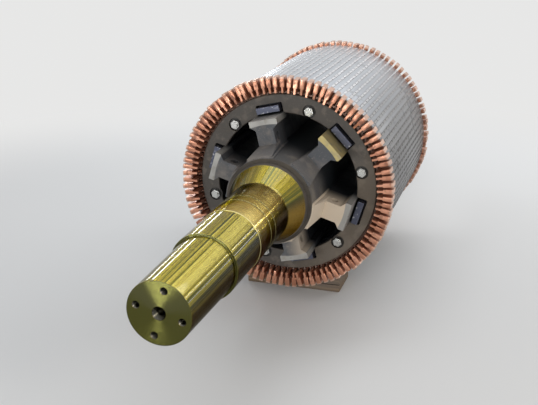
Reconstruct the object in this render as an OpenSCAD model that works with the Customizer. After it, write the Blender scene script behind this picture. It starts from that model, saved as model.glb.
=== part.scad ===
// Cage rotor of a horizontal hydroelectric generator, laid on two timber bearers.
// A turned shaft carries six welded ribs, and the ribs carry a slotted core built of
// packets of steel sheet. Copper bars lie in the slots and stand out at both ends,
// where their short-circuit rings are not fitted yet.
// The axis runs along Y. The end that faces the viewer is at -Y, the other end mirrors it.
// Radii are measured from the axis, lengths along it.

/* [Place] */
// Turn of the first rib from straight up, clockwise from the front
rib_turn = -13.5; // [-20:0.5:20]

/* [Shaft] */
// Radius of the coupling seat at its free end
seat_tip_r = 97; // [92:0.5:99]
// Radius of the coupling seat where it meets its shoulder
seat_root_r = 103; // [100:0.5:105]
// Length of the coupling seat
seat_len = 331; // [280:1:380]
// Radius of the seal land between that shoulder and the journal
seal_r = 111; // [108:0.5:112.5]
// Length of the seal land
seal_len = 214; // [170:1:250]
// Radius of the bearing journal
journal_r = 113; // [110:0.5:118]
// Length of the bearing journal
journal_len = 310; // [280:1:340]
// Distance of the first oil groove from the outer end of the journal
groove_in = 110; // [80:1:120]
// Distance between the two oil grooves
groove_gap = 50; // [30:1:60]
// Width of an oil groove
groove_w = 4; // [2:0.5:6]
// Depth of an oil groove
groove_d = 1.5; // [1:0.25:3]
// Radius of the flared part at its wide end
flare_r = 151; // [140:0.5:158]
// Length of the flare
flare_len = 117; // [90:1:140]
// Width of the plain land at the wide end of the flare
flare_land = 13; // [8:1:25]
// Radius of the body that carries the ribs
body_r = 165; // [160:0.5:172]
// Chamfer on the turned edges
edge_c = 2.5; // [1:0.5:4]

/* [Holes in the shaft ends] */
// Radius of the circle of tapped holes in the front end
front_hole_pcr = 70; // [62:0.5:74]
// Radius of a tapped hole in the front end
front_hole_r = 10.5; // [8:0.25:12]
// Radius of the circle of tapped holes in the rear end
rear_hole_pcr = 60; // [48:0.5:64]
// Radius of a tapped hole in the rear end
rear_hole_r = 8.75; // [6:0.25:10]
// Number of tapped holes in each end
end_hole_n = 4; // [3:1:6]
// Depth of a tapped hole
end_hole_depth = 45; // [30:1:60]
// Turn of the first tapped hole from straight up
end_hole_turn = 14; // [0:1:45]
// Radius of the turning centre's bore
centre_r = 12; // [8:0.5:14]
// Depth of the turning centre's bore
centre_depth = 48; // [35:1:60]
// Radius of the turning centre's mouth
centre_mouth_r = 21; // [18:0.5:26]
// Depth of the cone in the mouth
centre_mouth_depth = 14; // [8:1:20]

/* [Ribs] */
// Number of ribs round the shaft
rib_n = 6; // [6:1:6]
// Thickness of a rib's web
web_t = 40; // [30:1:50]
// Distance between the end faces of a rib
rib_len = 1118; // [1100:2:1140]
// Width of the machined pad along a rib's crest
pad_w = 112; // [104:1:120]
// Thickness of the pad at its sides
pad_t = 21; // [15:1:25]
// Radial height of the slope from the pad's side to the end block
pad_slope = 18; // [12:1:24]
// Thickness of the block at each end of a rib
block_t = 70; // [60:1:80]
// Length of the end block along the shaft
block_len = 128; // [105:1:140]
// Height above the shaft's body at which the sloped foot starts
foot_rise = 21; // [15:1:30]
// Length of the sloped foot beyond the end face
foot_len = 118; // [100:1:122]
// Length of the shaft's body beyond the foot
foot_room = 12; // [6:1:30]
// Width of the foot at its end
foot_w = 100; // [80:1:110]
// Radius of the lifting hole through an end block
lift_r = 16; // [10:0.5:20]
// Distance of the lifting hole from the end face
lift_in = 38; // [32:1:50]
// Height of the lifting hole above the shaft's body
lift_rise = 45; // [40:1:51]

/* [Laminated core] */
// Outer radius of the core
core_r = 413; // [408:1:420]
// Depth of the sheets from the core's surface to its bore
core_t = 130; // [127:0.5:133]
// Length over all packets
core_len = 856; // [830:2:880]
// Number of packets
packet_n = 17; // [13:2:19]
// Width of a vent duct between two packets
duct_w = 6; // [4:0.5:8]
// Number of slots
slot_n = 96; // [84:6:96]

/* [Cage bars] */
// Depth of a bar's bottom below the core's surface
bar_depth = 47; // [42:0.5:50]
// Width of a bar's narrow root
bar_root_w = 9; // [7:0.5:11]
// Depth below the core's surface down to which a bar is wide
bar_head_h = 24; // [20:0.5:28]
// Width of a bar's head
bar_head_w = 17; // [15:0.5:18]
// Length of a bar beyond the core at each end
bar_out = 61; // [50:1:75]
// Height of a bar's tip above the core's surface
tip_rise = 17; // [10:0.5:20]
// Distance from the core to the raised tip
tip_in = 12; // [10:1:18]
// Thickness of a slot wedge
wedge_t = 7; // [5:0.5:9]
// Depth of a slot wedge below the core's surface
wedge_sink = 1; // [0.5:0.25:2]
// Length of a slot wedge beyond the core at each end
wedge_out = 9; // [4:0.5:9.5]
// Clearance at each side of a bar in its slot
slot_gap = 0.5; // [0.3:0.1:1]

/* [Clamping] */
// Distance from a clamping ring's edge to the bars around it
ring_room = 8; // [4:0.5:20]
// Thickness of a clamping ring
ring_t = 24; // [20:1:32]
// Chamfer on the ring's edges
ring_c = 3; // [1:0.5:5]
// Width of a core key
key_w = 95; // [85:1:100]
// Thickness of a core key
key_t = 26; // [20:0.5:30]
// Distance from the rib's crest to the key
key_lift = 8; // [6:0.5:12]
// Length of a key beyond the clamping ring at each end
key_out = 24; // [15:1:40]
// Room round the key in the clamping ring
key_room = 6; // [3:0.5:8]
// Radius of a tie stud
stud_r = 12; // [10:0.5:14]
// Distance of a tie stud from the core's bore
stud_in = 24; // [22:0.5:30]
// Radius of the recess round a stud's nut
recess_r = 26; // [24:0.5:28]
// Depth of that recess
recess_depth = 12; // [8:1:16]
// Width of a nut across its flats
nut_af = 32; // [30:0.5:34]
// Height of a nut
nut_h = 18; // [14:1:24]
// Length of a stud beyond its nut
stud_out = 7; // [3:0.5:12]

/* [Bearers] */
// Distance of a bearer's middle from the end of the core
bearer_in = 168; // [130:1:210]
// Width of a bearer along the shaft
bearer_w = 170; // [140:1:200]
// Length of a bearer across the shaft
bearer_len = 400; // [380:5:520]
// Height of the core above the floor
core_lift = 77; // [60:1:120]
// Depth of the saddle in a bearer's top
saddle_depth = 35; // [20:1:45]

/* [Hidden] */

// Clearance of a seat that is tight but not pressed
seat_gap = 0.3;
// Circles are drawn with this many sides and rebuilt as true arcs
fine = 96;
$fn = fine;

rib_step = 360 / rib_n;
stud_turn = rib_turn + rib_step / 2;
slot_step = 360 / slot_n;
packet_len = (core_len - (packet_n - 1) * duct_w) / packet_n;
packet_step = packet_len + duct_w;
middle_n = 2 * floor(packet_n / 6) + 1;
side_n = (packet_n - middle_n) / 2;
bore_r = core_r - core_t;
crest_r = bore_r - seat_gap;
foot_r = body_r + foot_rise;
lift_h = body_r + lift_rise;
bar_root_r = core_r - bar_depth;
bar_step_r = core_r - bar_head_h;
bar_top_r = core_r - wedge_sink - wedge_t - slot_gap;
ring_r = bar_root_r - ring_room;
stud_pcr = bore_r + stud_in;
tip_r = core_r + tip_rise;
bar_len = core_len + 2 * bar_out;
slot_w = bar_head_w + 2 * slot_gap;
key_in_r = bore_r + key_lift;
ring_face = core_len / 2 + ring_t;
body_len = rib_len + 2 * (foot_len + foot_room);
// Height of the rotor axis above the floor
axis_h = core_lift + core_r;

// The shaft's own steps, counted from the middle of the rotor outwards
body_end = body_len / 2;
land_end = body_end + flare_land;
flare_end = land_end + flare_len;
journal_end = flare_end + journal_len;
seal_end = journal_end + seal_len;
shaft_end = seal_end + seat_len;

// Lays what is drawn along +Z onto the rotor axis, with +Z towards the front
module on_axis() {
  translate([0, 0, axis_h])
    rotate([90, 0, 0])
      children();
}

// Turns what is drawn upwards by an angle, clockwise as seen from the front
module turned(angle) {
  rotate([0, 0, -angle])
    children();
}

// Draws its children at the front end and mirrored at the rear end
module both_ends() {
  children();
  mirror([0, 0, 1])
    children();
}

// Rectangle that stands on radius r_in, width w, height h
module standing(r_in, w, h) {
  translate([-w / 2, r_in])
    square([w, h]);
}

function front_half() = [
  [body_r, 0],
  [body_r, body_end - edge_c],
  [body_r - edge_c, body_end],
  [flare_r, body_end],
  [flare_r, land_end],
  [journal_r, flare_end],
  [journal_r, journal_end - groove_in - groove_gap - groove_w],
  [journal_r - groove_d, journal_end - groove_in - groove_gap - groove_w],
  [journal_r - groove_d, journal_end - groove_in - groove_gap],
  [journal_r, journal_end - groove_in - groove_gap],
  [journal_r, journal_end - groove_in - groove_w],
  [journal_r - groove_d, journal_end - groove_in - groove_w],
  [journal_r - groove_d, journal_end - groove_in],
  [journal_r, journal_end - groove_in],
  [journal_r, journal_end - edge_c],
  [seal_r, journal_end],
  [seal_r, seal_end - edge_c],
  [seal_r - edge_c, seal_end],
  [seat_root_r, seal_end],
  [seat_tip_r, shaft_end - edge_c],
  [seat_tip_r - edge_c, shaft_end],
  [0, shaft_end]
];

// Tapped holes on a circle of radius pcr, and the turning centre between them
module shaft_end_holes(pcr, r) {
  for (i = [0 : end_hole_n - 1])
    turned(end_hole_turn + i * 360 / end_hole_n)
      translate([0, pcr, shaft_end - end_hole_depth])
        cylinder(r = r, h = end_hole_depth + 1);
  translate([0, 0, shaft_end - centre_depth])
    cylinder(r = centre_r, h = centre_depth + 1);
  translate([0, 0, shaft_end - centre_mouth_depth])
    cylinder(r1 = centre_r, r2 = centre_mouth_r, h = centre_mouth_depth);
}

module shaft() {
  color("darkkhaki")
    on_axis()
      difference() {
        both_ends()
          rotate_extrude()
            polygon(concat([[0, 0]], front_half()));
        shaft_end_holes(front_hole_pcr, front_hole_r);
        mirror([0, 0, 1])
          shaft_end_holes(rear_hole_pcr, rear_hole_r);
      }
}

// Cross section of an end block: pad, slope and block
function block_outline() = [
  [-block_t / 2, body_r - block_t],
  [block_t / 2, body_r - block_t],
  [block_t / 2, crest_r - pad_t - pad_slope],
  [pad_w / 2, crest_r - pad_t],
  [pad_w / 2, crest_r],
  [-pad_w / 2, crest_r],
  [-pad_w / 2, crest_r - pad_t],
  [-block_t / 2, crest_r - pad_t - pad_slope]
];

// Foot that runs down from the end block to the shoulder of the shaft's body
module rib_foot() {
  foot_root = rib_len / 2 - block_len / 2;
  hull() {
    translate([-block_t / 2, body_r - block_t, foot_root])
      cube([block_t, foot_r - body_r + block_t, rib_len / 2 - foot_root]);
    translate([-foot_w / 2, body_r - block_t, rib_len / 2 + foot_len - edge_c])
      cube([foot_w, block_t + edge_c, edge_c]);
  }
}

module rib(k) {
  color("slategray")
    on_axis()
      turned(rib_turn + (k - 1) * rib_step)
        difference() {
          union() {
            translate([0, 0, -rib_len / 2])
              linear_extrude(rib_len)
                standing(crest_r - pad_t, pad_w, pad_t);
            translate([0, 0, -rib_len / 2])
              linear_extrude(rib_len)
                standing(body_r - web_t, web_t, crest_r - body_r + web_t - pad_t / 2);
            both_ends() {
              translate([0, 0, rib_len / 2 - block_len])
                linear_extrude(block_len)
                  polygon(block_outline());
              rib_foot();
            }
          }
          cylinder(r = body_r + seat_gap, h = body_len + 2, center = true);
          both_ends()
            translate([0, lift_h, rib_len / 2 - lift_in])
              rotate([0, 90, 0])
                cylinder(r = lift_r, h = pad_w + 2, center = true);
        }
}

// One punching of the core: slots outside, keyways and stud holes round the bore
module punching() {
  difference() {
    circle(core_r);
    circle(bore_r);
    for (i = [0 : slot_n - 1])
      turned((i + 0.5) * slot_step)
        standing(bar_root_r - slot_gap, slot_w, core_r);
    for (k = [0 : rib_n - 1]) {
      turned(rib_turn + k * rib_step)
        standing(bore_r - key_t, key_w + 2 * seat_gap, key_lift + 2 * key_t + seat_gap);
      turned(stud_turn + k * rib_step)
        translate([0, stud_pcr])
          circle(stud_r + seat_gap);
    }
  }
}

// Packets first to last, counted from the front
module packets(first, last) {
  color("silver")
    on_axis()
      for (p = [first : last])
        translate([0, 0, core_len / 2 - packet_len - p * packet_step])
          linear_extrude(packet_len)
            punching();
}

module core_packets_front() {
  packets(0, side_n - 1);
}

module core_packets_middle() {
  packets(side_n, side_n + middle_n - 1);
}

module core_packets_rear() {
  packets(side_n + middle_n, packet_n - 1);
}

// Opening with round corners for a key
module key_slot() {
  slot_w_all = key_w + 2 * key_room;
  top = key_in_r + key_t + key_room;
  standing(bore_r - key_t, slot_w_all, top - bore_r + key_t - key_room);
  standing(bore_r - key_t, slot_w_all - 2 * key_room, top - bore_r + key_t);
  for (side = [-1, 1])
    translate([side * (slot_w_all / 2 - key_room), top - key_room])
      circle(key_room);
}

module clamp_ring() {
  color("rosybrown")
    on_axis()
      difference() {
        rotate_extrude()
          polygon([
            [bore_r, core_len / 2],
            [ring_r, core_len / 2],
            [ring_r, ring_face - ring_c],
            [ring_r - ring_c, ring_face],
            [bore_r + ring_c, ring_face],
            [bore_r, ring_face - ring_c]
          ]);
        for (k = [0 : rib_n - 1]) {
          turned(rib_turn + k * rib_step)
            translate([0, 0, core_len / 2 - 1])
              linear_extrude(ring_t + 2)
                key_slot();
          turned(stud_turn + k * rib_step)
            translate([0, stud_pcr, core_len / 2 - 1])
              cylinder(r = stud_r + seat_gap, h = ring_t + 2);
          turned(stud_turn + k * rib_step)
            translate([0, stud_pcr, ring_face - recess_depth])
              cylinder(r = recess_r, h = recess_depth + 1);
        }
      }
}

module clamp_ring_front() {
  clamp_ring();
}

module clamp_ring_rear() {
  mirror([0, 1, 0])
    clamp_ring();
}

module core_key(k) {
  key_len = 2 * (ring_face + key_out);
  color("midnightblue")
    on_axis()
      turned(rib_turn + (k - 1) * rib_step)
        translate([0, 0, -key_len / 2])
          linear_extrude(key_len)
            standing(key_in_r, key_w, key_t);
}

module tie_stud(k) {
  nut_seat = ring_face - recess_depth;
  stud_len = 2 * (nut_seat + nut_h + stud_out);
  color("gainsboro")
    on_axis()
      turned(stud_turn + (k - 1) * rib_step)
        translate([0, stud_pcr, 0]) {
          cylinder(r = stud_r, h = stud_len, center = true);
          both_ends()
            translate([0, 0, nut_seat])
              cylinder(r = nut_af / 2 / cos(30), h = nut_h, $fn = 6);
        }
}

// Cage bar: narrow root, wide head, and a tip that stands above the core at each end
module bar() {
  translate([0, 0, -bar_len / 2])
    linear_extrude(bar_len) {
      standing(bar_root_r, bar_root_w, bar_step_r - bar_root_r + 1);
      standing(bar_step_r, bar_head_w, bar_top_r - bar_step_r);
    }
  both_ends()
    translate([0, 0, core_len / 2 + tip_in])
      linear_extrude(bar_out - tip_in)
        standing(bar_step_r, bar_head_w, tip_r - bar_step_r);
}

// Bars of one sixth of the cage
module cage_bars(k) {
  color("peru")
    on_axis()
      for (i = [floor((k - 1) * slot_n / 6) : floor(k * slot_n / 6) - 1])
        turned((i + 0.5) * slot_step)
          bar();
}

// Wedges that close one sixth of the slots
module slot_wedges(k) {
  wedge_len = core_len + 2 * wedge_out;
  color("lightsteelblue")
    on_axis()
      for (i = [floor((k - 1) * slot_n / 6) : floor(k * slot_n / 6) - 1])
        turned((i + 0.5) * slot_step)
          translate([0, 0, -wedge_len / 2])
            linear_extrude(wedge_len)
              standing(core_r - wedge_sink - wedge_t, bar_head_w, wedge_t);
}

// Timber bearer with a shallow saddle that follows the core
module bearer_front() {
  color("saddlebrown")
    difference() {
      translate([-bearer_len / 2, bearer_in - core_len / 2 - bearer_w / 2, 0])
        cube([bearer_len, bearer_w, core_lift + saddle_depth]);
      on_axis()
        cylinder(r = core_r + seat_gap, h = core_len + 2, center = true);
    }
}

module bearer_rear() {
  mirror([0, 1, 0])
    bearer_front();
}

shaft();
rib(1);  // rib_1
rib(2);  // rib_2
rib(3);  // rib_3
rib(4);  // rib_4
rib(5);  // rib_5
rib(6);  // rib_6
core_packets_front();
core_packets_middle();
core_packets_rear();
clamp_ring_front();
clamp_ring_rear();
core_key(1);  // core_key_1
core_key(2);  // core_key_2
core_key(3);  // core_key_3
core_key(4);  // core_key_4
core_key(5);  // core_key_5
core_key(6);  // core_key_6
tie_stud(1);  // tie_stud_1
tie_stud(2);  // tie_stud_2
tie_stud(3);  // tie_stud_3
tie_stud(4);  // tie_stud_4
tie_stud(5);  // tie_stud_5
tie_stud(6);  // tie_stud_6
cage_bars(1);  // cage_bars_1
cage_bars(2);  // cage_bars_2
cage_bars(3);  // cage_bars_3
cage_bars(4);  // cage_bars_4
cage_bars(5);  // cage_bars_5
cage_bars(6);  // cage_bars_6
slot_wedges(1);  // slot_wedges_1
slot_wedges(2);  // slot_wedges_2
slot_wedges(3);  // slot_wedges_3
slot_wedges(4);  // slot_wedges_4
slot_wedges(5);  // slot_wedges_5
slot_wedges(6);  // slot_wedges_6
bearer_front();
bearer_rear();
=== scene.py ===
import math

import bmesh
import bpy
import numpy as np
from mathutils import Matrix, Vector


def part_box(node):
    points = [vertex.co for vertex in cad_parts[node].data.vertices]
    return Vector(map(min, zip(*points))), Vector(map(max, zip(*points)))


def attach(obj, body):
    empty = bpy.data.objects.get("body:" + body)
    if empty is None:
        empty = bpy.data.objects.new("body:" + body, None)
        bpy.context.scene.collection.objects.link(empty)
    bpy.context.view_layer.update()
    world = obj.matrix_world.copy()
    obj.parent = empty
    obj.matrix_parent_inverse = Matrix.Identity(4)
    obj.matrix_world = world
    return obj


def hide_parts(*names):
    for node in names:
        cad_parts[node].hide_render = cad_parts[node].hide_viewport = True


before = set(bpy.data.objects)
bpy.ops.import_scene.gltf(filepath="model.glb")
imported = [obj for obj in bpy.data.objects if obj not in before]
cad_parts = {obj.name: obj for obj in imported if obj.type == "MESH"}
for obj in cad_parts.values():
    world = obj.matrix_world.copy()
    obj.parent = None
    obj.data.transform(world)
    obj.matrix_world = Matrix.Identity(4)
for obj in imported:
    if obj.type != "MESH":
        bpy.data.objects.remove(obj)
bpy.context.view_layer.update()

# Shaft
# One steel forging, turned all over: from each end inwards a tapered seat, a seal land, a journal with two
# oil grooves, a flare and the body. Four tapped holes and a turning centre are drilled into each end face.
# The ends wear a clear yellow-green varnish, and the body between the ribs wears their slate paint.
shaft_low, shaft_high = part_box("shaft")
axis_h = (shaft_low.z + shaft_high.z) / 2
shaft_end = shaft_high.y
# Names in _r are distances from the axis, and those in _end or _start are from the middle of the core.
body_r, body_end, body_edge, foot_end = 0.165, 0.689, 0.0025, 0.677
flare_r, flare_land, flare_edge = 0.151, 0.702, 0.002
journal_r, flare_end, flare_round, journal_end = 0.113, 0.819, 0.006, 1.129
groove_depth, groove_w, groove_starts = 0.0015, 0.004, (0.965, 1.015)
groove_edge, groove_root = 0.0004, 0.0006
seal_r, seal_end = 0.111, 1.343
seat_root_r, seat_tip_r, seat_edge = 0.103, 0.097, 0.002
edge_c, step_root = 0.0025, 0.0015
shaft_sides, centre_sides, hole_sides = 256, 64, 32
hole_circles = {-1: (0.070, 0.0105), 1: (0.060, 0.00875)}
hole_depth, hole_turn, hole_n = 0.045, math.radians(14), 4
hole_mouth, thread_pitch, thread_height, drill_out = 0.0015, 0.0025, 0.0009, 0.004
centre_r, centre_depth, centre_mouth_r, centre_cone = 0.012, 0.048, 0.021, 0.014
smooth_to = math.radians(30)

varnish_straw, varnish_yellow = (0.54, 0.46, 0.11), (0.34, 0.265, 0.026)
varnish_green, varnish_olive = (0.135, 0.145, 0.020), (0.042, 0.041, 0.008)
# Painted shade in brown below, and a painted golden reflection down the flare:
shade_brown, flare_reflection = (0.085, 0.055, 0.014), (0.42, 0.27, 0.07)
# Golden rings and a painted highlight for the journal, and painted highlights along its edges:
journal_gold_and_highlight, edge_glint = (0.90, 0.70, 0.24), (0.80, 0.73, 0.38)
end_face_green, drilled_steel = (0.082, 0.080, 0.020), (0.15, 0.145, 0.12)
slate_paint, body_dust, oily_rim = (0.062, 0.067, 0.077), (0.36, 0.31, 0.25), (0.062, 0.050, 0.040)
# Painted shade, near black, deep in the air passages and the core, and where it falls along the body:
deep_shade, body_dark = (0.012, 0.015, 0.020), (0.59, 0.44)
metal_tint, journal_rings, turning_marks = (0.26, 0.25, 0.14), 55, 2200
# The top, the journal's painted highlight and the flare's painted reflection, as ways across the rotor:
crown_way, highlight_way, reflection_way = (0.12, 0, 0.993), (0.45, 0, 0.89), (0.8, 0, -0.6)
paint_from, paint_ragged = (0.1475, 0.1495), 0.002
bore_zone = (seat_tip_r - 0.006, seat_tip_r - 0.009)
below_face = (shaft_end - 0.0004, shaft_end - 0.0012)
journal_line, groove_line = (0.003, 0.0022), (0.002, 0.003)


def ring_quads(rows, columns):
    """Corners of the faces between neighbouring rings of points, a row for each ring."""
    row, column = np.meshgrid(np.arange(rows - 1), np.arange(columns), indexing="ij")
    after = (column + 1) % columns
    here, ahead = row * columns, (row + 1) * columns
    return np.stack([here + column, here + after, ahead + after, ahead + column], -1).reshape(-1, 4)


def rounded(corners, steps=4):
    """Replaces each corner (y, r, size) of a profile by the curve (1-t)^2 a + 2t(1-t) c + t^2 b, where a and
    b lie that size before and after the corner c, with a point more beside each to keep long faces flat."""
    corners = np.asarray(corners, float)
    points = [corners[:1, :2]]
    t = np.linspace(0, 1, steps + 1)[:, None]
    for before, corner, after in zip(corners[:-2], corners[1:-1], corners[2:]):
        c, size = corner[:2], corner[2]
        back = (before[:2] - c) / np.linalg.norm(before[:2] - c)
        ahead = (after[:2] - c) / np.linalg.norm(after[:2] - c)
        a, b = c + back * size, c + ahead * size
        curve = (1 - t) ** 2 * a + 2 * t * (1 - t) * c + t ** 2 * b
        points += [a[None] + back * size / 2, curve, b[None] + ahead * size / 2]
    return np.concatenate(points + [corners[-1:, :2]])


def revolved(profile, sides, centre=(0, 0)):
    """Point (y, r) of the profile goes to x = r sin a, z = r cos a round a line along Y through a centre."""
    angle = np.arange(sides) * 2 * np.pi / sides
    y, r = profile[:, :1], profile[:, 1:]
    points = np.stack([centre[0] + r * np.sin(angle), y + 0 * angle, centre[1] + r * np.cos(angle)], -1)
    return points.reshape(-1, 3), ring_quads(len(profile), sides)


def joined(shapes):
    """The points and faces of several shapes as one."""
    starts = np.cumsum([0] + [len(points) for points, _ in shapes[:-1]])
    points = np.concatenate([points for points, _ in shapes])
    return points, np.concatenate([faces + start for (_, faces), start in zip(shapes, starts)])


def solid(name, points, faces, attributes=None, sharp=smooth_to):
    """Mesh object from points and faces: doubles merged, normals outward, smooth up to the sharp angle."""
    mesh = bpy.data.meshes.new(name)
    mesh.from_pydata(points.tolist(), [], [list(f) for f in faces])
    for key, values in (attributes or {}).items():
        mesh.attributes.new(key, "FLOAT", "POINT").data.foreach_set("value", np.asarray(values, np.float32))
    work = bmesh.new()
    work.from_mesh(mesh)
    bmesh.ops.remove_doubles(work, verts=work.verts, dist=1e-6)
    bmesh.ops.recalc_face_normals(work, faces=work.faces)
    work.to_mesh(mesh)
    work.free()
    mesh.shade_smooth()
    mesh.set_sharp_from_angle(angle=sharp)
    piece = bpy.data.objects.new(name, mesh)
    bpy.context.scene.collection.objects.link(piece)
    return piece


def fit(piece, finish, slot, *nodes):
    """Gives a piece its finish and its place on the rotor, and lets it stand for the CAD nodes named."""
    piece.data.materials.clear()
    piece.data.materials.append(finish)
    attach(piece, "root")
    if nodes:
        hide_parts(*nodes)


class Reading:
    """A value read at each place of a surface. Arithmetic on it adds Math nodes to its finish."""

    def __init__(self, finish, socket):
        self.finish = finish
        self.socket = socket

    def other(self, name):
        """Another output of the same node."""
        return Reading(self.finish, self.socket.node.outputs[name])

    def math(self, operation, *values):
        return self.finish.node("ShaderNodeMath", {"operation": operation}, dict(enumerate(values)))

    def __add__(self, other):
        return self.math("ADD", self, other)

    def __sub__(self, other):
        return self.math("SUBTRACT", self, other)

    def __rsub__(self, other):
        return self.math("SUBTRACT", other, self)

    def __mul__(self, other):
        return self.math("MULTIPLY", self, other)

    def __abs__(self):
        return self.math("ABSOLUTE", self)

    __radd__ = __add__
    __rmul__ = __mul__


class Finish:
    """A material of one Principled surface, built from the nodes that its node method adds."""

    def __init__(self, name, **constants):
        self.material = bpy.data.materials.new(name)
        self.material.use_nodes = True
        self.tree = self.material.node_tree
        self.tree.nodes.clear()
        self.surface = self.tree.nodes.new("ShaderNodeBsdfPrincipled")
        self.output = self.tree.nodes.new("ShaderNodeOutputMaterial")
        self.tree.links.new(self.surface.outputs[0], self.output.inputs["Surface"])
        self.place = self.node("ShaderNodeTexCoord", out="Object")
        self.set(**constants)

    def node(self, kind, settings=None, sockets=None, out=0):
        """Adds a node: its settings first, a ramp's stops among them, then its sockets' values or links."""
        made = self.tree.nodes.new(kind)
        for key, value in (settings or {}).items():
            if key == "stops":
                while len(made.color_ramp.elements) < len(value):
                    made.color_ramp.elements.new(0.5)
                for element, (position, colour) in zip(made.color_ramp.elements, value):
                    element.position = position
                    element.color = (*colour, 1)
            else:
                setattr(made, key, value)
        for key, value in (sockets or {}).items():
            self.feed(made.inputs[key], value)
        return Reading(self, made.outputs[out])

    def feed(self, socket, value):
        """Links a reading to a socket, or writes a colour or a number into it."""
        if isinstance(value, Reading):
            self.tree.links.new(value.socket, socket)
        elif socket.type == "RGBA":
            socket.default_value = (*value[:3], 1)
        else:
            socket.default_value = value

    def set(self, **sockets):
        """Feeds the surface's own sockets, named with _ for a space."""
        for key, value in sockets.items():
            self.feed(self.surface.inputs[key.replace("_", " ")], value)

    def mix(self, factor, a, b):
        """Colour a where the factor is 0, colour b where it is 1."""
        return self.node("ShaderNodeMix", {"data_type": "RGBA"}, {0: factor, 6: a, 7: b}, out=2)

    def span(self, value, low, high):
        """0 where the value is low, 1 where it is high, with a smooth step between."""
        settings = {"interpolation_type": "SMOOTHSTEP"}
        sockets = {"Value": value, "From Min": low, "From Max": high}
        return self.node("ShaderNodeMapRange", settings, sockets)

    def noise(self, scale, detail=3.0, stretch=(1, 1, 1), roughness=0.5, place=None):
        """Noise at so many blobs a metre, drawn out along an axis by a stretch below 1."""
        at = self.node("ShaderNodeMapping", {}, {"Vector": place or self.place, "Scale": stretch})
        sockets = {"Vector": at, "Scale": scale, "Detail": detail, "Roughness": roughness}
        return self.node("ShaderNodeTexNoise", {}, sockets)

    def lines(self, track, detail):
        """Noise that changes along one track only, so that it draws lines across it."""
        return self.node("ShaderNodeTexNoise", {"noise_dimensions": "1D"}, {"W": track, "Detail": detail})

    def bump(self, height, distance, strength):
        sockets = {"Height": height, "Distance": distance, "Strength": strength}
        return self.node("ShaderNodeBump", {}, sockets)

    def vector(self, operation, a, b=(0, 0, 0), out=0):
        return self.node("ShaderNodeVectorMath", {"operation": operation}, {0: a, 1: b}, out)

    def scaled(self, a, factor):
        return self.node("ShaderNodeVectorMath", {"operation": "SCALE"}, {0: a, "Scale": factor})

    def dot(self, a, b):
        return self.vector("DOT_PRODUCT", a, b, out="Value")

    def length(self, a):
        return self.vector("LENGTH", a, out="Value")

    def part(self, axis, vector=None):
        """One of the parts X, Y or Z of a vector, or of the place on the rotor."""
        return self.node("ShaderNodeSeparateXYZ", {}, {0: vector or self.place}, out=axis)

    def facing(self):
        """The surface's normal."""
        return self.node("ShaderNodeNewGeometry", out="Normal")

    def from_middle(self):
        """Distance along the rotor from the middle of the core, the same towards both ends."""
        return abs(self.part("Y"))

    def from_axis(self):
        """Direction and distance from the rotor axis, which runs along Y."""
        offset = self.vector("SUBTRACT", self.place, (0, 0, axis_h))
        flat = self.vector("MULTIPLY", offset, (1, 0, 1))
        return self.vector("NORMALIZE", flat), self.length(flat)

    def towards(self, way, low, high):
        """0 to 1 as the direction from the axis turns towards one way across the rotor."""
        return self.span(self.dot(self.from_axis()[0], way), low, high)

    def turned_normal(self, marks, tilt, spread=0.2):
        """Normal tilted along the turned profile by so many marks a metre, so that light spreads across
        them. The smaller the spread, the more of them lean all the way. The profile's own direction is
        Y (n.r) - r (n.Y), for the normal n and the direction r from the axis."""
        outward, radius = self.from_axis()
        normal = self.facing()
        along = self.scaled((0, 1, 0), self.dot(normal, outward))
        inward = self.scaled(outward, self.dot(normal, (0, 1, 0)))
        profile = self.vector("SUBTRACT", along, inward)
        track = self.lines((self.part("Y") + radius) * marks, 2.0)
        leaning = (self.span(track, 0.5 - spread, 0.5 + spread) - 0.5) * tilt
        return self.vector("NORMALIZE", self.vector("ADD", normal, self.scaled(profile, leaning)))


def body_paint(steel):
    """Slate paint under dust, an oily rim beyond the ribs' feet, and painted shade deep in the air passages.
    """
    dust = steel.span(steel.noise(7, 7, roughness=0.62), 0.45, 0.68)
    paint = steel.mix(0.12 + 0.4 * dust, slate_paint, body_dust)
    paint = steel.mix(steel.span(steel.from_middle(), foot_end, body_end) * 0.7, paint, oily_rim)
    # Painted shade: near black deep in the air passages.
    return steel.mix(steel.span(steel.from_middle(), *body_dark), paint, deep_shade)


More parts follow.
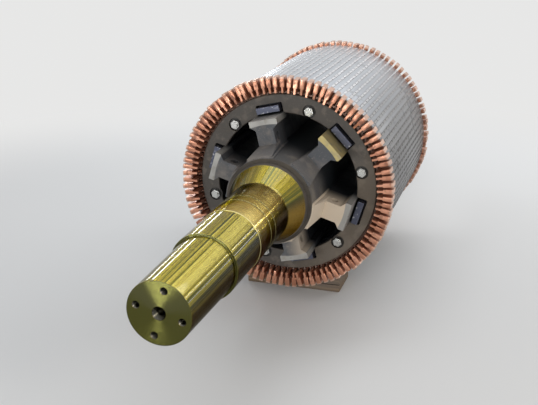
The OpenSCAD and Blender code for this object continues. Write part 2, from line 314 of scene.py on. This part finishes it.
def varnish(steel, on_journal, on_flare):
    """Clear varnish, brushed on in long strokes: straw where it is thinnest, then yellow, green and olive,
    and lighter towards the top as painted light. Golden rings and a painted golden highlight lie on top of
    the journal, painted shade in brown lies below, and a painted golden reflection lies down the flare's
    lower right. The answer is its colour, and how much painted shade lies below."""
    outward, _ = steel.from_axis()
    strokes = steel.vector("ADD", outward, steel.vector("MULTIPLY", steel.place, (0, 0.5, 0)))
    fine = steel.noise(26, 3, (1, 0.03, 1), 0.6, strokes)
    broad = steel.noise(4.5, 3, (1, 0.25, 1), 0.55, strokes)
    rings = steel.span(steel.lines(steel.from_middle() * journal_rings, 4.0), 0.36, 0.64)
    # Painted highlight: golden along the top of the journal.
    lit_top = steel.towards(highlight_way, 0.72, 0.98)
    calm = on_journal + on_flare
    thin_and_lit = (1.15 - 0.75 * calm) * fine + (0.75 - 0.4 * calm) * broad
    # Painted light: lighter towards the top.
    thin_and_lit = thin_and_lit + 0.22 * steel.towards(crown_way, 0.05, 0.85)
    thin_and_lit = thin_and_lit + on_journal * (0.42 * rings + 0.3 * lit_top + 0.18) + 0.5 * on_flare
    stops = [(0.0, varnish_olive), (0.30, varnish_olive), (0.48, varnish_green)]
    stops += [(0.66, varnish_yellow), (0.9, varnish_straw)]
    colour = steel.node("ShaderNodeValToRGB", {"stops": stops}, {0: steel.span(thin_and_lit, 0.62, 1.42)})
    # Golden rings, and the painted highlight along the top of the journal.
    colour = steel.mix(on_journal * (0.35 * rings + 0.6 * lit_top), colour, journal_gold_and_highlight)
    # Painted shade: brown towards the bottom, with less coat there.
    shade_below = steel.towards(crown_way, 0.60, 0.05)
    colour = steel.mix(shade_below * (0.85 - 0.65 * on_flare), colour, shade_brown)
    # Painted reflection: golden on the lower right of the flare.
    return steel.mix(on_flare * steel.towards(reflection_way, 0.5, 0.9) * 0.85, colour, flare_reflection), shade_below


def varnished_steel():
    """Turned steel under varnish, with painted highlights along the journal's edges, plainer on the faces
    across the shaft and bare in its holes. The body between the ribs is painted instead."""
    steel = Finish("varnished_steel", Specular_Tint=metal_tint, Coat_Roughness=0.03, Coat_IOR=1.5)
    along, (_, radius) = steel.from_middle(), steel.from_axis()
    tilt = steel.length(steel.vector("MULTIPLY", steel.facing(), (0, 1, 0)))
    faces = steel.span(tilt, 0.6, 0.9)
    on_flare = steel.span(tilt, 0.2, 0.29) * (1 - faces) * steel.span(along, journal_end, flare_end)
    on_journal = steel.span(along, journal_end, journal_end - 0.001)
    on_journal = on_journal * steel.span(along, flare_end, flare_end + 0.01)
    colour, shade_below = varnish(steel, on_journal, on_flare)
    # Painted highlights: bright lines at the journal's end and at its grooves.
    edges = [(journal_end, journal_line)] + [(start, groove_line) for start in groove_starts]
    for edge, (before, half_width) in edges:
        line = steel.span(abs(along - (edge - before)), half_width, 0.6 * half_width)
        colour = steel.mix(line * 0.65, colour, edge_glint)
    colour = steel.mix(faces, colour, end_face_green)
    in_hole = steel.span(radius, *bore_zone) * steel.span(along, *below_face)
    colour = steel.mix(in_hole, colour, drilled_steel)
    body = steel.span(radius + paint_ragged * steel.noise(40, 3), *paint_from)
    steel.set(Base_Color=steel.mix(body, colour, body_paint(steel)), Metallic=1 - body)
    steel.set(Roughness=0.14 + 0.06 * steel.noise(60, 3) + 0.45 * body)
    steel.set(Coat_Weight=(1 - body) * (0.5 - 0.4 * shade_below))
    steel.set(Normal=steel.turned_normal(turning_marks, 0.6 - 0.35 * on_journal, 0.2 - 0.13 * faces))
    return steel.material


def shaft_profile():
    """Corners (y, r, rounding) of the half from the middle to one end, rounded, and the same mirrored."""
    corners = [
        (0, body_r, 0), (body_end, body_r, body_edge), (body_end, flare_r, step_root),
        (flare_land, flare_r, flare_edge), (flare_end, journal_r, flare_round),
    ]
    for start in groove_starts:
        bottom = journal_r - groove_depth
        corners += [(start, journal_r, groove_edge), (start, bottom, groove_root)]
        corners += [(start + groove_w, bottom, groove_root), (start + groove_w, journal_r, groove_edge)]
    corners += [
        (journal_end - edge_c, journal_r, groove_root), (journal_end, seal_r, groove_root),
        (seal_end, seal_r, edge_c), (seal_end, seat_root_r, step_root), (shaft_end, seat_tip_r, seat_edge),
        (shaft_end, 0, 0),
    ]
    half = rounded(corners)
    return np.concatenate([half[::-1] * (-1, 1), half[1:]])


def tapped(r):
    """Profile of a drill for a tapped hole: countersink, then a zigzag of half a thread's pitch a step."""
    step = np.arange(1, int((hole_depth - hole_mouth) / (thread_pitch / 2)))
    zigzag = np.stack([-hole_mouth - step * thread_pitch / 2, r - thread_height * (step % 2)], -1)
    mouth = [(drill_out, 0), (drill_out, r + hole_mouth), (0, r + hole_mouth), (-hole_mouth, r)]
    return np.concatenate([mouth, zigzag, [(-hole_depth - r / 2, 0)]])


def drills():
    """The turning centre's and the tapped holes' profiles, revolved about their own lines. Each end, at -Y
    and +Y, has its own radius of the circle of holes and of a hole."""
    centre = np.array([
        (drill_out, 0), (drill_out, centre_mouth_r), (0, centre_mouth_r), (-centre_cone, centre_r),
        (-centre_depth, centre_r), (-centre_depth - centre_r / 2, 0),
    ])
    bores = []
    for side, (circle_r, hole_r) in hole_circles.items():
        outwards, face = (side, 1), (side * shaft_end, 0)
        bores.append(revolved(centre * outwards + face, centre_sides, (0, axis_h)))
        for turn in hole_turn + np.arange(hole_n) * 2 * math.pi / hole_n:
            middle = (circle_r * math.sin(turn), axis_h + circle_r * math.cos(turn))
            bores.append(revolved(tapped(hole_r) * outwards + face, hole_sides, middle))
    return joined(bores)


turned_shaft = solid("turned_shaft", *revolved(shaft_profile(), shaft_sides, (0, axis_h)))
drill = solid("drill", *drills())
cut = turned_shaft.modifiers.new("bores", "BOOLEAN")
cut.operation, cut.solver, cut.object = "DIFFERENCE", "EXACT", drill
drilled = bpy.data.meshes.new_from_object(turned_shaft.evaluated_get(bpy.context.evaluated_depsgraph_get()))
turned_shaft.modifiers.clear()
turned_shaft.data = drilled
drilled.shade_smooth()
drilled.set_sharp_from_angle(angle=smooth_to)
bpy.data.objects.remove(drill)
fit(turned_shaft, varnished_steel(), "varnished_shaft", "shaft")

# Ribs
# Six plates welded to the body, each with a thick block at both ends and a machined pad along its crest.
# They are primed in dark slate, and workshop dust lies on them. Their lower right side carries painted light
# in the dust's colour, and painted shade lies deep inside. The pads are bare steel, milled across.
# Primer, worn primer, and the colour of the dust and of the painted light on the lower right side:
slate_worn, dust_and_lit_tone = (0.115, 0.11, 0.112), (0.68, 0.57, 0.44)
# Painted light on the ribs' and rings' lower right side, and painted shade on the core's:
lower_right_way, rib_lit_side = (0.90, 0, -0.43), 0.95
milled_steel, oiled_steel, pad_stain = (0.36, 0.35, 0.33), (0.46, 0.38, 0.17), (0.24, 0.22, 0.18)
oiled_way, pad_from, rib_dark = (0.725, 0, 0.688), (0.2625, 0.2655), (0.535, 0.42)
rib_n, rib_edge = 6, 0.0025


def softened(node, name, width, segments=2, angle=math.radians(28)):
    """Merged copy of a CAD node with its flat faces joined and its edges rounded."""
    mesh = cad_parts[node].data.copy()
    work = bmesh.new()
    work.from_mesh(mesh)
    bmesh.ops.remove_doubles(work, verts=work.verts, dist=2e-6)
    bmesh.ops.dissolve_limit(work, angle_limit=math.radians(0.4), verts=work.verts, edges=work.edges)
    made = bpy.data.meshes.new(name)
    work.to_mesh(made)
    work.free()
    bpy.data.meshes.remove(mesh)
    made.shade_smooth()
    made.set_sharp_from_angle(angle=angle)
    piece = bpy.data.objects.new(name, made)
    bpy.context.scene.collection.objects.link(piece)
    edge = piece.modifiers.new("edges", "BEVEL")
    edge.width, edge.segments, edge.limit_method = width, segments, "ANGLE"
    edge.angle_limit, edge.harden_normals = angle, True
    return piece


def dusty_paint(name, paint, worn, dust, lit_side):
    """Matt primer with rubbed patches and a film of dust that gathers in blots and on top, and painted light
    in the dust's colour on the lower right side. The answer is the finish and the primer's colour."""
    coat = Finish(name)
    rubbed = coat.span(coat.noise(22, 6), 0.52, 0.66)
    side = coat.towards(lower_right_way, 0.55, 0.95)
    film = coat.span(coat.noise(6, 7, roughness=0.62) + 0.12 * side, 0.48, 0.70)
    grit = coat.span(coat.noise(260, 4), 0.60, 0.72)
    lying = coat.span(coat.part("Z", coat.facing()), 0.2, 0.9)
    colour = coat.mix(rubbed, paint, worn)
    # Painted light: the lower right side turns towards the dust's colour.
    colour = coat.mix(0.16 * film + (lit_side - 0.16 * film) * side, colour, dust)
    colour = coat.mix(grit * 0.2, colour, dust)
    colour = coat.mix(lying * 0.1, colour, dust)
    coat.set(Roughness=0.52 + 0.3 * film)
    coat.set(Normal=coat.bump(coat.noise(120, 6) + 0.4 * rubbed, 0.0006, 0.6))
    return coat, colour


def rib_paint():
    """The ribs' primer, bare milled steel on the pads, oiled on one of them, and painted shade deep inside.
    """
    coat, painted = dusty_paint("rib_paint", slate_paint, slate_worn, dust_and_lit_tone, rib_lit_side)
    _, height = coat.from_axis()
    pad, deep = coat.span(height, *pad_from), coat.span(coat.from_middle(), *rib_dark)
    bare = coat.mix(coat.towards(oiled_way, 0.85, 0.95), milled_steel, oiled_steel)
    bare = coat.mix(coat.span(coat.noise(30, 5), 0.5, 0.7) * 0.6, bare, pad_stain)
    colour = coat.mix(pad, painted, bare)
    # Painted shade: near black deep inside.
    coat.set(Base_Color=coat.mix(deep, colour, deep_shade), Metallic=0.6 * pad - 0.6 * deep * pad)
    return coat.material


rib_finish = rib_paint()
for k in range(1, rib_n + 1):
    fit(softened(f"rib_{k}", f"welded_rib_{k}", rib_edge), rib_finish, "rib_paint", f"rib_{k}")

# Weld beads
# The ribs' feet and end blocks are welded to the shaft's body in one pass all round. The steel bead is
# rippled along its length, and the ribs' paint covers it.
rib_turn, rib_step = math.radians(-13.5), 2 * math.pi / rib_n
web_half, block_half, foot_half = 0.020, 0.035, 0.050
block_start, foot_start, bead_start = 0.431, 0.495, 0.401
web_root, block_round, foot_round = 0.004, 0.006, 0.008
bead_r, bead_swell, bead_pitch, bead_step, bead_sides = 0.0055, 0.14, 0.008, 0.002, 8
smooth_bead = math.radians(80)


def bead_points(turn, end):
    """A bead follows the path (n, y), across and along the rib, on the body: its ring of points at length l
    along the path has the radius bead_r (1 + bead_swell sin(2 pi l / bead_pitch)), or 0 at both ends."""
    half = rounded([
        (bead_start, web_half, 0), (block_start, web_half, web_root), (block_start, block_half, block_round),
        (foot_start, block_half, block_round), (foot_end, foot_half, foot_round), (foot_end, 0, 0),
    ])
    path = np.concatenate([half, half[-2::-1] * (1, -1)])
    reach = np.r_[0, np.cumsum(np.linalg.norm(np.diff(path, axis=0), axis=1))]
    l = np.linspace(0, reach[-1], int(reach[-1] / bead_step))
    y, n = np.interp(l, reach, path[:, 0]), np.interp(l, reach, path[:, 1])
    dy, dn = np.gradient(y), np.gradient(n)
    size = bead_r * (1 + bead_swell * np.sin(2 * np.pi * l / bead_pitch))
    size[[0, -1]] = 0
    a = np.arange(bead_sides) * 2 * np.pi / bead_sides
    beside = size[:, None] * np.sin(a) / np.hypot(dy, dn)[:, None]
    angle = turn + (n[:, None] + beside * dy[:, None]) / body_r
    r = body_r + size[:, None] * np.cos(a)
    y = y[:, None] - beside * dn[:, None]
    return np.stack([r * np.sin(angle), end * y, axis_h + r * np.cos(angle)], -1)


beads = [bead_points(rib_turn + k * rib_step, end) for k in range(rib_n) for end in (-1, 1)]
beads = [(bead.reshape(-1, 3), ring_quads(len(bead), bead_sides)) for bead in beads]
fit(solid("weld_beads", *joined(beads), sharp=smooth_bead), rib_finish, "rib_paint")

# Core
# Seventeen packets of punched steel sheet with vent ducts between them. The stack is turned on the outside,
# so the sheets' edges are bright there and carry fine marks round the core. Inside the slots, the ducts and
# the bore they are darkened by painted shade, and their lower right side is painted darker, as shade.
core_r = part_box("core_packets_middle")[1].x
turned_skin, slot_depth = (core_r - 0.002, core_r - 0.005), (core_r - 0.05, core_r - 0.10)
sheet_dark, sheet_bright, sheet_dull = (0.56, 0.56, 0.58), (0.84, 0.84, 0.86), (0.50, 0.50, 0.51)
# Stains, and the brown of the painted shade in the slots:
sheet_stain, slot_shade = (0.30, 0.27, 0.24), (0.17, 0.105, 0.08)
# Painted shade on the lower right side:
side_shade = (0.055, 0.048, 0.042)
sheet_lines, packet_tones, core_marks = 900, 19, 1600


def core_sheets():
    """Bright sheet edges: fine lines round the core, packets of slightly different grey and spots of oil and
    dust, with painted shade on the lower right side and in the slots, the ducts and the bore."""
    sheet = Finish("core_sheets")
    y, (_, radius) = sheet.part("Y"), sheet.from_axis()
    edges = sheet.span(sheet.lines(y * sheet_lines, 3.0), 0.35, 0.65)
    packets = sheet.span(sheet.lines(y * packet_tones, 1.0), 0.35, 0.65)
    colour = sheet.mix(packets * 0.3, sheet.mix(edges, sheet_dark, sheet_bright), sheet_dull)
    stain = sheet.span(sheet.noise(9, 7, (1, 0.5, 1), 0.6), 0.56, 0.70)
    colour = sheet.mix(stain * 0.45, colour, sheet_stain)
    # Painted shade: darker and less metallic on the lower right side.
    shaded_side = sheet.towards(lower_right_way, -0.1, 0.9)
    colour = sheet.mix(shaded_side * 0.92, colour, side_shade)
    # Painted shade below the turned skin: brown, then near black deeper in.
    in_slot = sheet.mix(sheet.span(radius, *slot_depth), slot_shade, deep_shade)
    colour = sheet.mix(sheet.span(radius, *turned_skin), colour, in_slot)
    sheet.set(Base_Color=colour, Metallic=0.85 - 0.6 * shaded_side, Roughness=0.34 + 0.2 * stain)
    sheet.set(Normal=sheet.turned_normal(core_marks, 0.7))
    return sheet.material


core_finish = core_sheets()
for part in ("front", "middle", "rear"):
    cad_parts[f"core_packets_{part}"].data.materials[0] = core_finish

# Clamping rings
# Thick steel rings that hold the packets together, cut out for the keys and sunk for the stud nuts. They are
# primed like the ribs, but browner, with less dust and less painted light on the lower right side, and with
# painted shade in the sunk places.
# Primer, worn primer, and the colour of the dust and of the painted light:
ring_grey, ring_worn, ring_dust_and_lit_tone = (0.058, 0.049, 0.040), (0.105, 0.087, 0.07), (0.27, 0.22, 0.165)
# Painted shade in the sunk places, and a little painted light on the lower right side:
recess_shade, ring_lit_side, ring_edge = (0.03, 0.028, 0.026), 0.35, 0.0015
ring_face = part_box("clamp_ring_rear")[1].y


def ring_paint():
    """The rings' primer, with painted shade on all that lies deeper than its face, as in the sunk places."""
    coat, painted = dusty_paint("ring_paint", ring_grey, ring_worn, ring_dust_and_lit_tone, ring_lit_side)
    # Painted shade on all that lies deeper than the ring's face.
    sunk = coat.span(coat.from_middle(), ring_face - 0.001, ring_face - 0.006)
    coat.set(Base_Color=coat.mix(sunk * 0.85, painted, recess_shade))
    return coat.material


ring_finish = ring_paint()
for part in ("front", "rear"):
    ring = softened(f"clamp_ring_{part}", f"pressure_ring_{part}", ring_edge)
    fit(ring, ring_finish, "ring_paint", f"clamp_ring_{part}")

# Core keys
# Flat bars of blued steel, driven in between the ribs and the core so that they turn together. Their ends
# stand out of both rings, scratched bright by the driving.
blue_black, blue_grey, bare_scratch = (0.05, 0.055, 0.085), (0.12, 0.125, 0.16), (0.5, 0.5, 0.52)
key_edge = 0.002


def blued_steel():
    """Blue-black rolled skin, worn to bare metal in scratches."""
    skin = Finish("blued_steel", Metallic=0.9)
    scratch = skin.span(skin.noise(90, 6, (1, 0.15, 1)), 0.60, 0.68)
    colour = skin.mix(scratch * 0.7, skin.mix(skin.noise(14, 4), blue_black, blue_grey), bare_scratch)
    skin.set(Base_Color=colour, Roughness=0.28 + 0.2 * skin.noise(40, 3))
    return skin.material


key_finish = blued_steel()
for k in range(1, rib_n + 1):
    fit(softened(f"core_key_{k}", f"driven_key_{k}", key_edge, 3), key_finish, "key_steel", f"core_key_{k}")

# Tie studs
# Long zinc-bright studs through the core that pull the two rings together. Each has a nut sunk into either
# ring, and domed ends that handling has polished.
zinc_bright, zinc_stain, stud_edge = (0.56, 0.56, 0.54), (0.28, 0.27, 0.25), 0.0015


def bright_steel():
    """Zinc-bright steel with a few grey stains."""
    zinc = Finish("bright_steel", Metallic=1.0)
    stain = zinc.span(zinc.noise(120, 4), 0.5, 0.65)
    zinc.set(Base_Color=zinc.mix(stain * 0.6, zinc_bright, zinc_stain), Roughness=0.24 + 0.15 * stain)
    return zinc.material


stud_finish = bright_steel()
for k in range(1, rib_n + 1):
    stud = softened(f"tie_stud_{k}", f"stud_and_nuts_{k}", stud_edge, 3)
    fit(stud, stud_finish, "stud_steel", f"tie_stud_{k}")

# Cage bars
# Ninety-six copper bars with a narrow root and a wide head. Their ends are sawn off by hand, so no two stand
# out alike, and each tip is raised to take the short-circuit ring.
bar_n, bar_groups = 96, 6
bar_root_r, bar_step_r, bar_top_r, tip_r = 0.366, 0.389, 0.4045, 0.430
root_half, head_half = 0.0045, 0.0085
core_end, bar_end, tip_start = 0.428, 0.489, 0.440
bar_edge, cut_room, smooth_bar = 0.0013, 0.002, math.radians(40)
saw = np.random.default_rng(96)
short_cut, long_miss, missed = 0.004, 0.005, 0.12
low_tip, lower_tip, lowered = 0.004, 0.003, 0.1
bend_spread, bend_most, twist_spread, slant_spread = 0.0021, 0.0045, 0.05, 0.07
copper_dull, copper_bright = (0.44, 0.19, 0.115), (0.70, 0.35, 0.23)
# Copper, brown patches, and pale burrs that are partly a painted glint:
copper_brown, burr_and_glint, burr_from = (0.22, 0.09, 0.055), (0.70, 0.52, 0.42), (0.4235, 0.4265)


def in_slots(across, y, height):
    """Places outlines in the slots round the axis. At a slot's angle a, a point h from the axis and u across
    goes to x = h sin a + u cos a, z = h cos a - u sin a."""
    angle = ((np.arange(bar_n) + 0.5) * 2 * np.pi / bar_n)[:, None, None]
    x = height * np.sin(angle) + across * np.cos(angle)
    z = axis_h + height * np.cos(angle) - across * np.sin(angle)
    return np.stack([x, y + 0 * x, z], -1)


def in_groups(strips):
    """The points of each group of strips, and the faces of its strips: their sides, then both ends."""
    rows, around = strips.shape[1:3]
    firsts = [strip * rows * around for strip in range(bar_n // bar_groups)]
    sides = ring_quads(rows, around)
    ends = [range(around), range((rows - 1) * around, rows * around)]
    faces = [list(face + first) for first in firsts for face in sides]
    faces += [[corner + first for corner in end] for first in firsts for end in ends]
    return [(group.reshape(-1, 3), faces) for group in np.split(strips, bar_groups)]


def both_ways(outline, mirrored):
    """One half of an outline or a run of sizes, then its mirror image."""
    return np.r_[outline, mirrored[::-1]]


def uneven(most, rare, share):
    """A length for each bar end: up to the most, and in a share of the ends a rare length more."""
    return saw.uniform(0, most, (bar_n, 2)) + rare * (saw.random((bar_n, 2)) < share)


def bar_points():
    """Each bar is a T-shaped outline carried along Y: u across, w from the axis. Beyond the core it bends
    and twists by the square of the distance, its end is cut on a slant, and the last rows of points draw in
    by the edge's size."""
    edge, half_way = bar_edge, (bar_end + tip_start) / 2
    u = np.array([
        root_half - edge, root_half, root_half, head_half - edge, head_half, head_half, head_half - edge,
    ])
    w = np.array([bar_root_r, bar_root_r + edge, bar_step_r, bar_step_r, bar_step_r + edge, -edge, 0])
    on_top = np.array([0, 0, 0, 0, 0, 1, 1])
    y = np.array([bar_end, bar_end - edge, half_way, tip_start + edge, tip_start, tip_start, core_end])
    top = np.array([tip_r - edge, tip_r, tip_r, tip_r, tip_r - edge, bar_top_r, bar_top_r])
    draw = np.array([edge, 0, 0, 0, 0, 0, 0])
    u, w, on_top = both_ways(u, -u), both_ways(w, w), both_ways(on_top, on_top)
    y, top, draw = both_ways(-y, y), both_ways(top, top), both_ways(draw, draw)[None, :, None]

    spare = uneven(short_cut, long_miss, missed)
    low = uneven(low_tip, lower_tip, lowered)
    bend = np.clip(saw.normal(0, bend_spread, (bar_n, 2)), -bend_most, bend_most)
    twist = saw.normal(0, twist_spread, (bar_n, 2))
    slant = saw.normal(0, slant_spread, (bar_n, 2))

    far = (y > 0).astype(int)
    out = np.clip((np.abs(y) - core_end) / (bar_end - core_end), 0, 1)
    freed = (out ** 2)[None, :, None]
    ends = y - np.sign(y) * out * (spare[:, far] + cut_room)
    tops = top - np.where(np.abs(y) >= tip_start, out ** 0.2, 0) * low[:, far] * (top > bar_top_r)
    tops = tops[:, :, None]
    middle = (bar_step_r + tops) / 2
    height = np.where(on_top, tops + w, w)
    height = height + np.sign(middle - height) * draw * 0.5
    turned = (height - middle) * freed
    across = u * (1 - draw / head_half) + bend[:, far, None] * freed + turned * twist[:, far, None]
    along = ends[:, :, None] + np.sign(y)[None, :, None] * turned * slant[:, far, None]
    return in_slots(across, np.clip(along, -bar_end, bar_end), height)


def copper():
    """Bare copper, browned and dusty, each bar in its own tone, with bright sawn ends and burrs, partly a
    painted glint.
    """
    bare = Finish("bare_copper")
    tone = bare.node("ShaderNodeAttribute", {"attribute_name": "tone"}, out="Fac")
    brown = bare.span(bare.noise(45, 6), 0.50, 0.68)
    _, radius = bare.from_axis()
    # Pale near the tips: burrs, partly a painted glint.
    burr_glint = bare.span(radius + 0.006 * bare.noise(180, 2), *burr_from)
    colour = bare.mix(brown * 0.75, bare.mix(tone, copper_dull, copper_bright), copper_brown)
    colour = bare.mix(burr_glint * 0.6, colour, burr_and_glint)
    bare.set(Base_Color=colour, Metallic=0.75 - 0.35 * brown, Roughness=0.34 + 0.2 * brown)
    bare.set(Normal=bare.bump(bare.noise(420, 4, (1, 0.3, 1)), 0.0004, 0.5))
    return bare.material


bar_finish = copper()
bars = bar_points()
tones = np.split(saw.random(bar_n), bar_groups)
for k, ((points, faces), tone) in enumerate(zip(in_groups(bars), tones), 1):
    tone = np.repeat(tone, len(points) // len(tone))
    piece = solid(f"copper_bars_{k}", points, faces, {"tone": tone}, sharp=smooth_bar)
    fit(piece, bar_finish, "bar_copper", f"cage_bars_{k}")

# Slot wedges
# Drawn steel strips, slid in from the end over the bars. They close the slots a little below the surface of
# the core and hold the bars down.
wedge_low, wedge_high, wedge_half, wedge_end, wedge_edge = 0.405, 0.412, 0.0085, 0.437, 0.0008
drawn_dark, drawn_bright, drawn_stain = (0.40, 0.42, 0.46), (0.66, 0.69, 0.73), (0.26, 0.25, 0.24)


def wedge_points():
    """A rectangle with its corners taken off, carried along Y, with a smaller first and last row."""
    edge, smaller = wedge_edge, 1 - wedge_edge / wedge_half
    u = np.array([wedge_half - edge, wedge_half, wedge_half, wedge_half - edge])
    w = np.array([wedge_low, wedge_low + edge, wedge_high - edge, wedge_high])
    u, w = both_ways(u, -u), both_ways(w, w)
    y = np.array([-wedge_end, -wedge_end + edge, wedge_end - edge, wedge_end])[:, None]
    size = np.array([smaller, 1, 1, smaller])[:, None]
    middle = (wedge_low + wedge_high) / 2
    return in_slots(u * size, y, middle + (w - middle) * size)


def drawn_steel():
    """Cold-drawn strip: light, streaked along its length, with the core's painted shade on its lower right
    side.
    """
    strip = Finish("drawn_steel")
    stain = strip.span(strip.noise(12, 6), 0.56, 0.7)
    # Painted shade: darker and less metallic on the lower right side, as on the core.
    shaded_side = strip.towards(lower_right_way, -0.1, 0.9)
    colour = strip.mix(strip.noise(200, 4, (1, 0.02, 1)), drawn_dark, drawn_bright)
    colour = strip.mix(shaded_side * 0.85, strip.mix(stain * 0.4, colour, drawn_stain), side_shade)
    strip.set(Base_Color=colour, Metallic=0.9 - 0.6 * shaded_side, Roughness=0.32 + 0.2 * stain)
    return strip.material


wedge_finish = drawn_steel()
for k, (points, faces) in enumerate(in_groups(wedge_points()), 1):
    fit(solid(f"wedge_strips_{k}", points, faces), wedge_finish, "wedge_steel", f"slot_wedges_{k}")

# Bearers
# Two old beams that the rotor lies on, each with a shallow saddle. They are sawn softwood, and age has
# turned them grey-brown.
wood_dark, wood_light, wood_grey = (0.13, 0.085, 0.05), (0.25, 0.17, 0.10), (0.16, 0.135, 0.115)
wood_crack, pith, beam_edge = (0.035, 0.025, 0.02), (0, 0.03, -0.21), 0.004


def old_timber():
    """Rings round a pith along X give both the side grain and the end grain; cracks follow the grain."""
    wood = Finish("old_timber", Metallic=0.0)
    sockets = {"Vector": wood.place, "Scale": (0.25, 1, 1), "Location": pith}
    log = wood.node("ShaderNodeMapping", {}, sockets)
    settings = {"wave_type": "RINGS", "rings_direction": "X"}
    sockets = {"Vector": log, "Scale": 36.0, "Distortion": 3.0, "Detail": 3.0}
    rings = wood.node("ShaderNodeTexWave", settings, sockets)
    grey = wood.span(wood.noise(5, 3, (0.3, 1, 1)), 0.4, 0.65)
    crack = wood.span(wood.noise(70, 6, (0.04, 1, 1)), 0.62, 0.68)
    colour = wood.mix(grey * 0.6, wood.mix(rings, wood_dark, wood_light), wood_grey)
    wood.set(Base_Color=wood.mix(crack, colour, wood_crack), Roughness=0.8)
    grain = rings * 0.5 - crack + 0.3 * wood.noise(160, 5, (0.1, 1, 1))
    wood.set(Normal=wood.bump(grain, 0.0015, 0.8))
    return wood.material


timber_finish = old_timber()
for part in ("front", "rear"):
    beam = softened(f"bearer_{part}", f"beam_{part}", beam_edge, 3)
    fit(beam, timber_finish, "timber", f"bearer_{part}")

# Studio
# A plain pale floor that fades into a pale background, a soft light overhead, a warmer one from the right, a
# wide low one in front and strips at both sides. The camera stands where the photograph was taken, with a
# longer lens.
camera_eye, camera_aim, focal_length = Vector((0.938, -3.661, 1.547)), Vector((0.037, -0.80, 0.5275)), 59.5
camera = bpy.data.objects.new("camera", bpy.data.cameras.new("camera"))
camera.data.lens = focal_length
camera.location = camera_eye
camera.rotation_euler = (camera_aim - camera_eye).to_track_quat("-Z", "Y").to_euler()
bpy.context.scene.collection.objects.link(camera)
bpy.context.scene.camera = camera


def soft_light(name, place, aim, size, power, colour):
    """Rectangular lamp that faces a point."""
    data = bpy.data.lights.new(name, "AREA")
    data.shape, data.size, data.size_y, data.energy, data.color = "RECTANGLE", *size, power, colour
    lamp = bpy.data.objects.new(name, data)
    lamp.location, lamp.visible_camera = place, False
    lamp.rotation_euler = (Vector(aim) - Vector(place)).to_track_quat("-Z", "Y").to_euler()
    bpy.context.scene.collection.objects.link(lamp)


soft_light("overhead", (0.7, 1.6, 3.8), (0, 1.2, 0.5), (1.5, 6.5), 88, (0.96, 0.98, 1.0))
soft_light("warm_side", (3.0, -3.0, 1.9), (0, -0.5, 0.45), (1.3, 1.3), 33, (1.0, 0.93, 0.84))
soft_light("front_left", (-0.9, -5.2, 1.0), (0, -1.6, 0.5), (3.2, 0.4), 75, (0.97, 0.99, 1.0))
soft_light("left_strip", (-3.4, 4.6, 0.9), (0, 4.6, 0.5), (3.0, 0.10), 33, (0.95, 0.98, 1.0))
soft_light("left_high", (-3.0, 4.6, 2.2), (0, 4.6, 0.5), (3.0, 0.35), 46, (0.92, 0.97, 1.0))
soft_light("right_strip", (3.6, 4.6, 0.8), (0, 4.6, 0.5), (3.0, 0.08), 10, (1.0, 0.98, 0.95))
soft_light("right_high", (3.3, 4.6, 1.9), (0, 4.6, 0.5), (3.0, 0.10), 14, (1.0, 0.98, 0.95))

pale, sky_light, sky_level = (0.80, 0.80, 0.795), (0.75, 0.76, 0.78), 0.50
floor_sides, floor_r, fade = 96, 40.0, (1.8, 3.4)
rim, _ = revolved(np.array([(0.0, floor_r)]), floor_sides)
ground = bpy.data.meshes.new("floor")
ground.from_pydata((rim[:, [0, 2, 1]] * (1, -1, 1)).tolist(), [], [list(range(floor_sides))])
floor = bpy.data.objects.new("floor", ground)
bpy.context.scene.collection.objects.link(floor)
stage = Finish("pale_floor", Base_Color=pale, Roughness=0.9)
ways = stage.node("ShaderNodeLightPath")
seen = ways + ways.other("Is Glossy Ray") + ways.other("Is Transmission Ray")
far = stage.span(stage.length(stage.place), *fade)
lit, glow = Reading(stage, stage.surface.outputs[0]), stage.node("ShaderNodeEmission", {}, {"Color": pale})
faded = stage.node("ShaderNodeMixShader", {}, {0: seen * far, 1: lit, 2: glow})
stage.tree.links.new(faded.socket, stage.output.inputs["Surface"])
ground.materials.append(stage.material)

world = bpy.data.worlds.new("studio")
world.use_nodes = True
sky = world.node_tree
ways = sky.nodes.new("ShaderNodeLightPath")
lit, shown = sky.nodes["Background"], sky.nodes.new("ShaderNodeBackground")
lit.inputs["Color"].default_value, lit.inputs["Strength"].default_value = (*sky_light, 1), sky_level
shown.inputs["Color"].default_value = (*pale, 1)
chosen = sky.nodes["World Output"].inputs["Surface"]
surface = lit.outputs[0]
for way in ("Is Camera Ray", "Is Glossy Ray", "Is Transmission Ray"):
    switch = sky.nodes.new("ShaderNodeMixShader")
    for socket, value in zip(switch.inputs, (ways.outputs[way], surface, shown.outputs[0])):
        sky.links.new(value, socket)
    surface = switch.outputs[0]
sky.links.new(surface, chosen)
bpy.context.scene.world = world
bpy.context.scene.view_settings.view_transform = "Standard"
